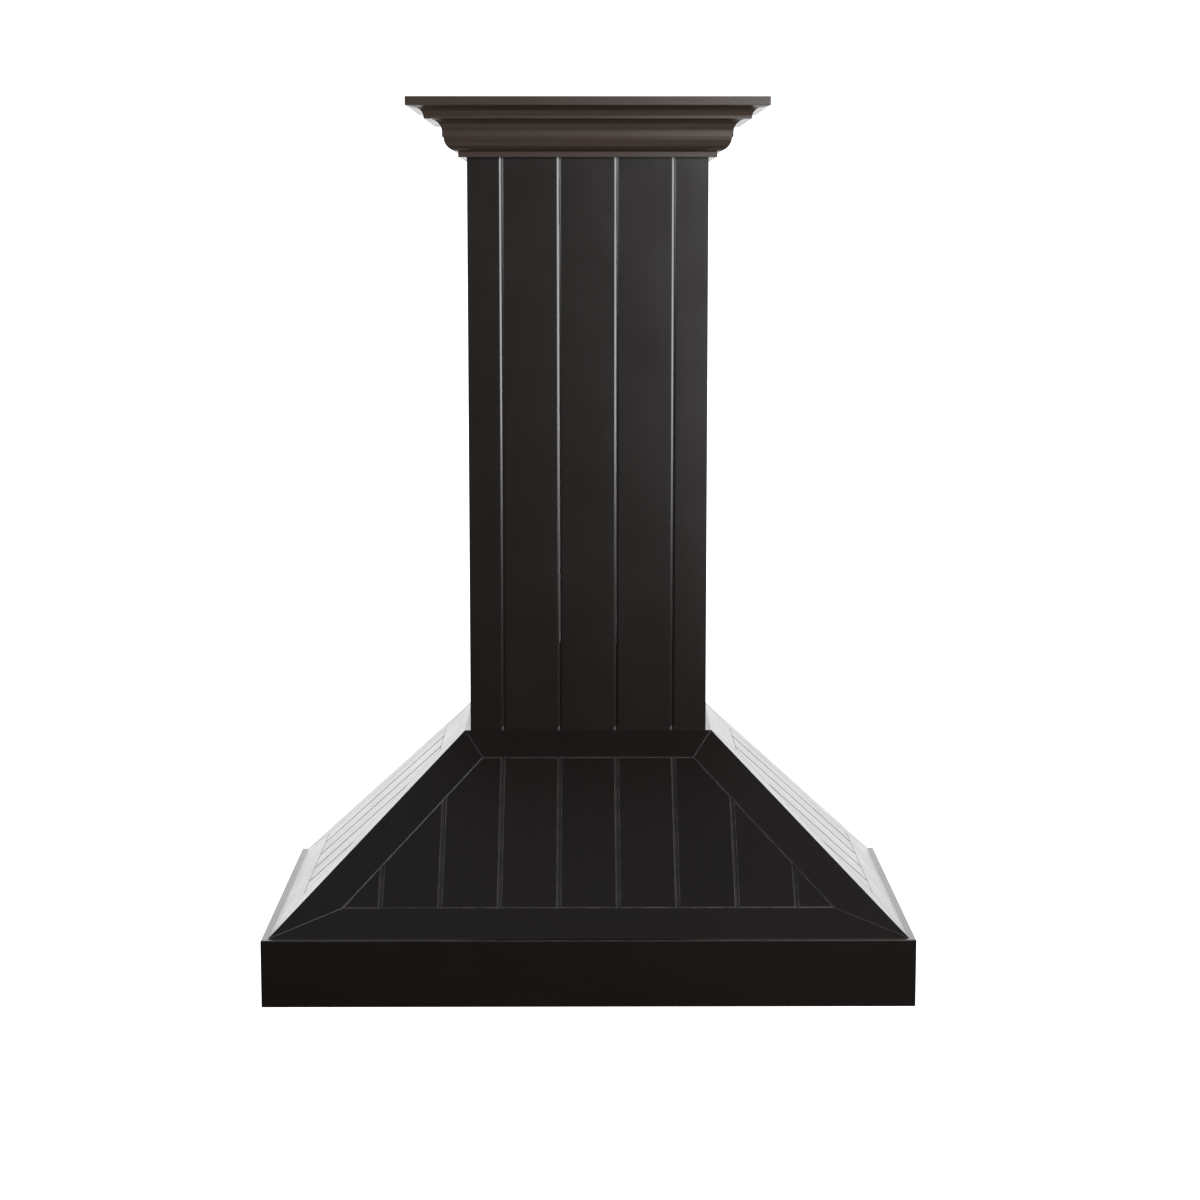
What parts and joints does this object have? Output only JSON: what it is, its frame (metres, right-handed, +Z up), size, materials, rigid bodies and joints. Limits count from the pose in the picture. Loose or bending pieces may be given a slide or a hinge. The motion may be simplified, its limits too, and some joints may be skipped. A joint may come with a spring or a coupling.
{
  "type": "wall-mount range hood",
  "caption": "Dark lacquered wooden wall hood with a grooved-board chimney, mitred crown and sloping canopy over a steel insert with baffle filters, blower and duct collar.",
  "frame": {"origin": "on the wall plane, midway between the two hanging screws", "axes": "+Z up, +Y into the wall, +X to the right seen from the room"},
  "size_m": [0.9144, 0.5588, 1.2645],
  "materials": {
    "dark_lacquered_wood": "satin lacquer",
    "plain_wood": "planed, unfinished",
    "stainless_steel": "brushed",
    "galvanised_steel": "galvanised",
    "spring_steel": "bright",
    "motor_paint": "semi-gloss",
    "frosted_lens": "frosted",
    "black_plastic": "fine texture",
    "button_metal": "satin chrome",
    "gland_rubber": "moulded"
  },
  "bodies": {
    "hood": {"apron_back_rail": "dark_lacquered_wood", "apron_front": "dark_lacquered_wood", "apron_left": "dark_lacquered_wood", "apron_right": "dark_lacquered_wood", "blower_motor": "motor_paint", "blower_scroll": "galvanised_steel", "blower_side_plates": "galvanised_steel", "cable_gland": "gland_rubber", "canopy_front_boards": "dark_lacquered_wood", "canopy_front_frame": "dark_lacquered_wood", "canopy_left_boards": "dark_lacquered_wood", "canopy_left_frame": "dark_lacquered_wood", "canopy_right_boards": "dark_lacquered_wood", "canopy_right_frame": "dark_lacquered_wood", "chimney_front_boards": "dark_lacquered_wood", "chimney_left_boards": "dark_lacquered_wood", "chimney_posts": "plain_wood", "chimney_rails": "plain_wood", "chimney_right_boards": "dark_lacquered_wood", "control_bezel": "black_plastic", "crown_blocks": "plain_wood", "crown_front": "dark_lacquered_wood", "crown_left": "dark_lacquered_wood", "crown_right": "dark_lacquered_wood", "duct_collar": "galvanised_steel", "filter_catches": "spring_steel", "filter_hinge_rod": "stainless_steel", "hanging_rail": "plain_wood", "hinge_brackets": "stainless_steel", "lamp_bezels": "stainless_steel", "lamp_cans": "galvanised_steel", "lamp_lenses": "frosted_lens", "liner_back_strip": "stainless_steel", "liner_centre_bar": "stainless_steel", "liner_cleats": "plain_wood", "liner_front_strip": "stainless_steel", "liner_side_strips": "stainless_steel", "plenum_back_panel": "galvanised_steel", "plenum_front_panel": "galvanised_steel", "plenum_side_panels": "galvanised_steel", "plenum_top_plate": "galvanised_steel", "switch_housing": "black_plastic", "wiring_box": "galvanised_steel"},
    "filter_left": {"filter_left_frame": "stainless_steel", "filter_left_baffles": "stainless_steel", "filter_left_handle": "stainless_steel"},
    "filter_right": {"filter_right_frame": "stainless_steel", "filter_right_baffles": "stainless_steel", "filter_right_handle": "stainless_steel"},
    "impeller": {"blower_wheel": "galvanised_steel", "motor_shaft": "stainless_steel"},
    "damper_front": {"damper_flap_front": "galvanised_steel"},
    "damper_back": {"damper_flap_back": "galvanised_steel"},
    "button_light_body": {"button_light": "button_metal"},
    "button_low_body": {"button_low": "button_metal"},
    "button_medium_body": {"button_medium": "button_metal"},
    "button_high_body": {"button_high": "button_metal"},
    "button_stop_body": {"button_stop": "button_metal"}
  },
  "joints": [
    {"name": "filter_left_hinge", "type": "hinge", "parent": "hood", "child": "filter_left", "pos_m": [-0.19485, -0.1033, -0.183], "axis": [1, 0, 0], "range_deg": [0, 70]},
    {"name": "filter_right_hinge", "type": "hinge", "parent": "hood", "child": "filter_right", "pos_m": [0.19485, -0.1033, -0.183], "axis": [1, 0, 0], "range_deg": [0, 70]},
    {"name": "impeller_spin", "type": "hinge", "parent": "hood", "child": "impeller", "pos_m": [0, -0.199, -0.015], "axis": [1, 0, 0], "continuous": true},
    {"name": "damper_front_hinge", "type": "hinge", "parent": "hood", "child": "damper_front", "pos_m": [0, -0.1415, 0.133], "axis": [-1, 0, 0], "range_deg": [0, 78]},
    {"name": "damper_back_hinge", "type": "hinge", "parent": "hood", "child": "damper_back", "pos_m": [0, -0.1345, 0.133], "axis": [1, 0, 0], "range_deg": [0, 78]},
    {"name": "button_light_press", "type": "slide", "parent": "hood", "child": "button_light_body", "axis": [0, 0, 1], "range_m": [0, 0.002], "stiffness_N_per_m": 300},
    {"name": "button_low_press", "type": "slide", "parent": "hood", "child": "button_low_body", "axis": [0, 0, 1], "range_m": [0, 0.002], "stiffness_N_per_m": 300},
    {"name": "button_medium_press", "type": "slide", "parent": "hood", "child": "button_medium_body", "axis": [0, 0, 1], "range_m": [0, 0.002], "stiffness_N_per_m": 300},
    {"name": "button_high_press", "type": "slide", "parent": "hood", "child": "button_high_body", "axis": [0, 0, 1], "range_m": [0, 0.002], "stiffness_N_per_m": 300},
    {"name": "button_stop_press", "type": "slide", "parent": "hood", "child": "button_stop_body", "axis": [0, 0, 1], "range_m": [0, 0.002], "stiffness_N_per_m": 300}
  ]
}
